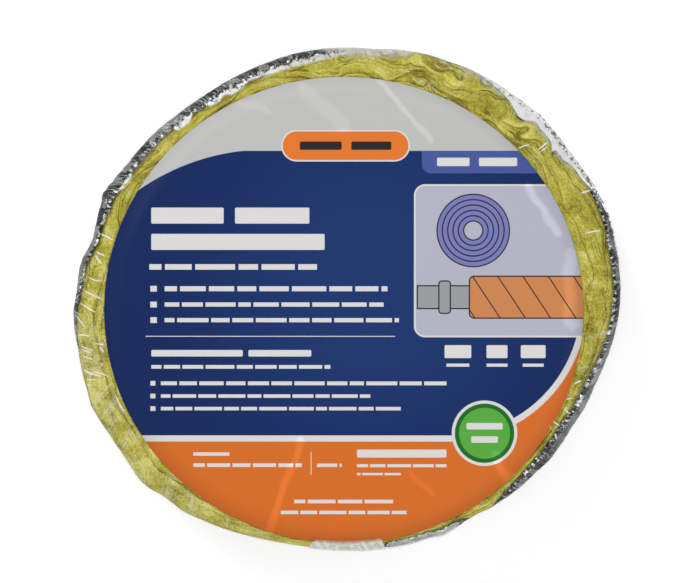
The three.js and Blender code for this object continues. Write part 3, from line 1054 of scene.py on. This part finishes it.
def paint_badges(page):
    """A plain pill in place of a name plate, a tab and a round seal."""
    pill = page.box(-32.0, 34.0, 79.0, 94.0, 7.5)
    page.fill(pill - 0.8, WHITE)
    page.fill(pill, ORANGE_LIGHT)
    for left, right in ((-23.0, -1.0), (4.0, 25.0)):
        page.fill(page.box(left, right, 84.3, 88.7, 0.8), INK)
    tab = page.box(41.0, BEYOND, 72.0, BEYOND, 5.0).at_least(page.y - 83.8)
    page.fill(tab, TAB_BLUE)
    for left, right in ((49.0, 66.0), (71.0, 91.0)):
        page.fill(page.box(left, right, 75.8, 80.2, 0.6), WHITE)
    for radius, colour in ((17.2, WHITE), (15.6, DARK_LEAF), (13.4, LEAF)):
        page.fill(page.disc(74.0, -64.5, radius), colour)
    for low, half in ((-62.5, 9.5), (-69.5, 7.0)):
        page.fill(page.box(74.0 - half, 74.0 + half, low, low + 3.4, 0.7), WHITE)


def light_folds(page):
    """Soft lighter streaks, where folds of the film over the card gather the light."""
    shine = 0.0
    waver = page.nodes.noise((page.x / 14.0, page.y / 14.0, 0.0), 1.0, 1.0)
    for start, end, width, strength in (
        ((-23.0, 118.0), (1.0, 96.0), 5.0, 0.10), ((18.0, 121.0), (46.0, 89.0), 2.6, 0.20),
        ((96.0, 66.0), (113.0, 40.0), 3.2, 0.30), ((119.0, 30.0), (119.0, -8.0), 5.0, 0.22),
        ((-22.0, -68.0), (-40.0, -117.0), 3.0, 0.24), ((35.0, -85.5), (47.0, -96.5), 2.4, 0.13),
        ((79.0, -76.0), (88.0, -93.0), 4.0, 0.24), ((-60.0, 112.0), (-40.0, 104.0), 4.0, 0.10),
    ):
        shine = shine + streak(page.x, page.y, start, end, width, waver) * strength
    lit = vector_maths("ADD", page.colour.scaled(1.9), (0.05, 0.04, 0.03))
    page.paint(shine.clamped(), lit)


def card_material():
    material, nodes, shader = new_material("printed_card")
    place = nodes.place()
    x, y, z = place.parts()
    page = Print(nodes, (x - CARD_MIDDLE.x) * IN_MM, (y - CARD_MIDDLE.y) * IN_MM, ORANGE)
    for paint in (paint_fields, paint_words, paint_window, paint_badges, light_folds):
        paint(page)
    printed = z > CARD_TOP - PRINT_DEPTH
    colour = nodes.mix(printed, BARE_CARD, page.colour)
    plug_all(shader, {"Base Color": colour, "Roughness": 0.5, "Specular IOR Level": 0.15})
    return material


CARD_MATERIAL = card_material()
print("the print has", len(CARD_MATERIAL.node_tree.nodes), "nodes")

# %% [markdown]
# The card itself is a thin disc, grown like everything else from a grid: round the axis one
# way, and the other way from the middle out over the top, round the edge and back below. It
# lies on springy wool, so it isn't quite flat.

# %% Grow the card
def closed_disc(nodes, columns, rows):
    """A grid that goes round the axis one way. The other way it goes out over the top (share 0
    to 1, side 1) and back underneath (share 1 to 0, side 0)."""
    loop = rows * 2.0 + 1.0
    grid, x, y = unit_grid(nodes, columns + 1.0, loop + 1.0)
    row = (y + 0.5) * loop
    share = (row / rows).at_most((loop - row) / rows).clamped()
    return grid, (x + 0.5) * 360.0, share, 1.0 - (row - rows).clamped()


def card_tree():
    nodes, wire = geometry_tree("cut the card", "Thickness")
    grid, degrees, share, side = closed_disc(nodes, wire["Columns"], wire["Rows"])
    radius = share * ring_reader(nodes, wire, degrees % 360.0)("card edge")
    angle = degrees * math.radians(1.0)
    x, y = radius * angle.cos(), radius * angle.sin()
    wave = nodes.noise((x, y, 0.0), 14.0, 1.0, 0.5, 1.0) * (0.12 * MM)
    z = CARD_TOP - 0.15 * MM + wave - (1.0 - side) * wire["Thickness"]
    return finished(nodes, wire, grid, x, y, z)


card = with_outward_normals(grow("printed_card", card_tree(), {
    "Columns": 360, "Rows": 12, "Thickness": 0.35 * MM, "Material": CARD_MATERIAL}))
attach(card, "root")
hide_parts("label_card")

# %% [markdown]
# ## Clear shrink film
# A clear film is nearly nothing: what shows is a faint mirror, and the places where it has
# gone milky. So its material mixes a shader with nothing at all, and the share of the shader,
# the cover, is small where the film is clear. There the shader is a mirror, which gives the
# glints on the pleats. Where the film is wrinkled or overstretched it is a pale sheet: in fine
# hairs across the shoulder, in blots beside the foil, and over the hollow at the strip's end.
# The hairs and long wrinkles are pale partly as creased film and partly as painted highlights.

# %% Film material
CLEAR_COVER = 0.03                           # what a clear film mirrors
MEAN_RADIUS = 136.0                          # of the roll, in millimetres
STROKE_WIDTH = 0.6


def round_the_roll(nodes, degrees, inwards, period, stretch):
    """A place for noise that goes round the roll without a seam; periods in millimetres."""
    around = MEAN_RADIUS / period
    angle = degrees * math.radians(1.0)
    return nodes.vector(angle.cos() * around, angle.sin() * around, inwards / stretch)


def hairs(nodes, degrees, inwards, period, amount, seed):
    """Fine wrinkles across the shoulder that lean and gather in groups, from 0 to 1."""
    side = (degrees * math.radians(1.0)).cos()
    slow = nodes.noise(round_the_roll(nodes, degrees, inwards, 40.0, 90.0), 1.0, 1.0, 0.5, seed)
    leaning = degrees + inwards * (side * 0.24 + slow * 0.2)
    lines, groups = [round_the_roll(nodes, leaning, inwards, *periods)
                     for periods in ((period, 40.0), (8.0, 18.0))]
    line = abs(nodes.noise(lines, 1.0, 1.0, 0.4, seed + 1.0)).fade(0.01, 0.09)
    group = nodes.noise(groups, 1.0, 2.0, 0.6, seed + 2.0)
    return line * (group + amount).ease(0.55, 0.75)


STROKES = (                                  # the longest wrinkles, pale partly as creased film and partly as painted highlights; in millimetres on the card
    ((-128, 40), (-120.5, 37)), ((-130.5, 31), (-124.5, 28)), ((-131, 29.5), (-126.5, 25)),
    ((-135, 17), (-126.5, 15)), ((-137, 10), (-126.5, 6)), ((-139, 4), (-129.5, -1.5)),
    ((-141, -3), (-134.5, -11)), ((-139.5, -5), (-136, -9)), ((-140, -13.5), (-133, -13)),
    ((-138, -20), (-132, -21.5)), ((-128.5, -20), (-125.5, -22.5)), ((-136, -31.5), (-126.5, -35)),
    ((-135, -38.5), (-132.5, -40)),
    ((-138.5, -18), (-131, -20.5)), ((-130, -17.5), (-125.5, -19.5)),
    ((-138, -23.5), (-131, -25.5)), ((-137, -30.5), (-131.5, -34)), ((-133, -31.5), (-123, -34.5)),
    ((-135.5, -35.5), (-130, -36.5)), ((-120.5, -43.5), (-114.5, -54.5)), ((91, 84.5), (98, 87.5)),
    ((101.5, 85), (107.5, 89)), ((103, 83.5), (107, 86.5)), ((124, 61.5), (130, 62.5)),
    ((126, 39.5), (135.5, 42)), ((121, -39.5), (125, -37)), ((116.5, -47), (120, -45.5)),
    ((109, -57.5), (114, -60.5)), ((105.5, -58.5), (109.5, -62.5)), ((115.5, -52), (118.5, -56)),
)


def film_material():
    material, nodes, shader = new_material("shrink_film")
    place = nodes.place()
    x, y, _ = place.parts()
    card_x, card_y = (x - CARD_MIDDLE.x) * IN_MM, (y - CARD_MIDDLE.y) * IN_MM
    x, y = x - AXIS.x, y - AXIS.y
    degrees = direction(x, y)
    inwards, on_shoulder, on_ring = nodes.attribute("sheet")
    milky_width, lip_width, white_width = nodes.attribute("marks")
    grain = nodes.noise(place, 420.0, 3.0, 0.65, 1.0)
    ragged = nodes.noise(place, 170.0, 4.0, 0.7, 2.0)

    # fine wrinkles, most of them at the left and at the lower right: pale partly as creased film
    # and partly as painted highlights
    amount = degrees.near(183.0, 22.0).at_least(degrees.near(330.0, 40.0) * 0.8)
    amount = amount * 0.47 + 0.12
    wrinkles = hairs(nodes, degrees, inwards, 2.1, amount, 20.0) * 0.6 * on_shoulder
    curved = card_y + nodes.noise(place, 110.0, 0.0, 0.5, 7.0) * 2.0
    drawn_place = nodes.vector(card_x, curved, 1.0)
    strokes = [off_stroke(drawn_place, start, end, STROKE_WIDTH) for start, end in STROKES]
    nearest = functools.reduce(Wire.at_most, strokes)
    wrinkles = wrinkles.at_least(nearest.fade(0.25, 1.0) * on_ring)

    # milky over the hollow behind the strip's end, and at two more places of the rim
    leaning = round_the_roll(nodes, degrees + inwards * 0.3, inwards, 2.6, 9.0)
    spikes = nodes.noise(leaning, 1.0, 2.0, 0.6, 8.0)
    torn = ragged * 3.0 + grain * 1.6 + spikes * 2.2
    milky = (milky_width + torn * (milky_width * 0.4).at_most(1.0) - inwards).ease(-3.2, 3.0)
    milky = milky * (0.74 + grain * 0.4 + spikes * 0.4) * milky_width.ease(0.0, 1.0) * on_ring
    # white beyond the foil's lip, in a ragged band at the top and in blots at the upper left
    past_lip = inwards - lip_width - 0.9 + torn * 0.7
    white = past_lip.ease(-0.6, 0.3) * (white_width - past_lip + torn * 0.9).ease(-0.3, 1.4)
    holes = (ragged * 0.8 + grain * 0.9 + spikes * 0.7 + white_width * 0.04).ease(-0.30, 0.10)
    white = white * white_width.ease(0.2, 1.2) * holes * on_ring * 0.9
    tape = milky * degrees.near(270.0, 16.0)
    whiteness = degrees.near(136.0, 36.0)

    # thin pale veils over the wool at the lower left
    veil = (nodes.noise(place, 75.0, 3.0, 0.6, 6.0) + grain * 0.3).ease(-0.15, 0.35)
    leaning = round_the_roll(nodes, degrees + inwards * 0.2, inwards, 1.5, 30.0)
    hatch = abs(nodes.noise(leaning, 1.0, 1.0, 0.4, 30.0)).fade(0.01, 0.12)
    hatch = hatch * ragged.ease(-0.25, 0.05)
    veil = (veil * 0.6).at_least(hatch) * on_shoulder * degrees.near(218.0, 46.0) * 0.34

    # dark grit that the film pulled off the foil's cut edge
    grit = nodes.noise(place, 520.0, 2.0, 0.6, 4.0) + degrees.near(26.0, 22.0) * 0.12
    grit = grit.ease(0.10, 0.17) * on_ring * degrees.near(34.0, 34.0)
    grit = grit * inwards.fade(1.6, 3.6)

    pale = milky.at_least(white).at_least(wrinkles * 0.9).at_least(veil)
    cover = pale.at_least(grit * 0.9).at_least(CLEAR_COVER).clamped()
    whiteness = (white * whiteness).at_least(wrinkles).at_least(tape).at_least(veil * 2.0).clamped()
    sheet_colour = nodes.mix(whiteness, (0.58, 0.59, 0.57), (0.86, 0.87, 0.86))
    plug_all(shader, {"Base Color": nodes.mix(grit, sheet_colour, (0.03, 0.03, 0.03)),
                      "Metallic": pale.at_least(grit).fade(0.0, 0.15), "Roughness": 0.14})
    clear = nodes.add("ShaderNodeBsdfTransparent")
    mixed = nodes.add("ShaderNodeMixShader",
                      inputs={"Fac": cover, 1: clear, 2: Wire(shader.outputs[0])})
    plug(material.node_tree.nodes["Material Output"].inputs["Surface"], mixed)
    return material


FILM_MATERIAL = film_material()
print("the film's material is ready")

# %% [markdown]
# ## The shrink film
# The film is one skin round everything. Hot air shrinks it tight over the faces, and on the
# shoulders, where there was too much of it, it gathers into short pleats that run outwards.
# The tree turns a profile round the axis, from the middle of the underside over the rim to
# the middle of the top, and lays pleats and folds into it.

# %% Grow the film
FILM_INSET = 0.25 * MM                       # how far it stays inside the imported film
FILM_TOP = HEIGHT - 0.3 * MM
FILM_SHOULDER = 7.5 * MM                     # stretched film rounds down less than the wool
WALL_SHARE, ARC_SHARE = 0.12, 0.60           # where along the profile the wall and the arc end


def film_tree():
    nodes, wire = geometry_tree("shrink the film on", "Pleats")
    grid, x, y = unit_grid(nodes, wire["Columns"] + 1.0, wire["Rows"] + 1.0)
    degrees = ((x + 0.5) * 360.0) % 360.0
    angle = degrees * math.radians(1.0)
    ring = ring_reader(nodes, wire, degrees)
    outline = ring("film edge") - FILM_INSET
    card_edge = ring("card edge")

    # share runs from the middle of the underside (-1) over the half height (0) to the top (1)
    share = y * 2.0
    upper = share.ease(-0.01, 0.01) * 2.0 - 1.0
    far = abs(share)
    wall = (far / WALL_SHARE).clamped()
    arc = ((far - WALL_SHARE) / 0.48).clamped() * (math.pi / 2)
    face = ((far - ARC_SHARE) / 0.40).clamped()
    over = arc.cos()
    on_shoulder = card_edge + over * (outline - card_edge)
    radius = nodes.choose(far > ARC_SHARE, card_edge * (1.0 - face), on_shoulder)

    # pleats: thin ridges that run outwards over the shoulder, in loose groups
    round_place = nodes.vector(angle.cos(), angle.sin(), 0.0)
    lean = nodes.noise(round_place, 6.0, 1.0, 0.5, 1.0) * 0.03 * (1.0 - over)
    turned = angle + lean
    circle = nodes.vector(turned.cos(), turned.sin(), over * 0.05 + upper * 0.3)
    ridge = abs(nodes.noise(circle, 22.0, 2.0, 0.6, 2.0)).fade(0.0, 0.08)
    group = nodes.noise((angle.cos(), angle.sin(), over * 0.6 + upper), 5.0, 2.0, 0.6, 3.0)
    on_ring = (arc * 3.0).clamped() * (1.0 - (face * 90.0).clamped())
    gathers = ridge * group.ease(-0.1, 0.25) * on_ring
    soft = nodes.noise((radius * angle.cos(), radius * angle.sin(), upper), 16.0, 2.0, 0.5, 4.0)
    fine = nodes.noise(circle, 60.0, 1.0, 0.5, 5.0)
    lift = gathers * wire["Pleats"] + fine * (0.12 * MM) * on_ring
    sag = soft * (0.25 * MM)

    radius = radius + lift * over
    left = (1.0 - over ** SQUARENESS).at_least(0.0)
    drop = (1.0 - left ** (1 / SQUARENESS)) * FILM_SHOULDER
    top = FILM_TOP - drop + (lift + sag) * (1.0 - over)
    low = FILM_INSET + drop
    low_or_high = nodes.choose(upper > 0.0, top, low)
    middle = (HEIGHT / 2) + (low_or_high - HEIGHT / 2) * wall

    # the material asks how far inwards from the rim a point lies, how much it is a part of a
    # shoulder, and whether it shows on the upper shoulder, the end of the wall included
    inwards = (outline + lift * over - radius) * IN_MM
    shows = wall.ease(0.7, 1.0) * (upper > 0.0) * (1.0 - (face * 90.0).clamped())
    near_card = far.fade(0.53, ARC_SHARE)
    widths = [ring(name) * IN_MM for name in ("milky", "foil lip", "whitened")]
    return finished(nodes, wire, grid, radius * angle.cos(), radius * angle.sin(), middle,
                    sheet=nodes.vector(inwards, on_ring * near_card, shows),
                    marks=nodes.vector(*widths))


film = with_outward_normals(grow("film_skin", film_tree(), {
    "Columns": 1400, "Rows": 66, "Pleats": 0.7 * MM, "Material": FILM_MATERIAL}))
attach(film, "root")
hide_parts("shrink_film")
film.visible_shadow = False                  # a clear film casts hardly any shadow
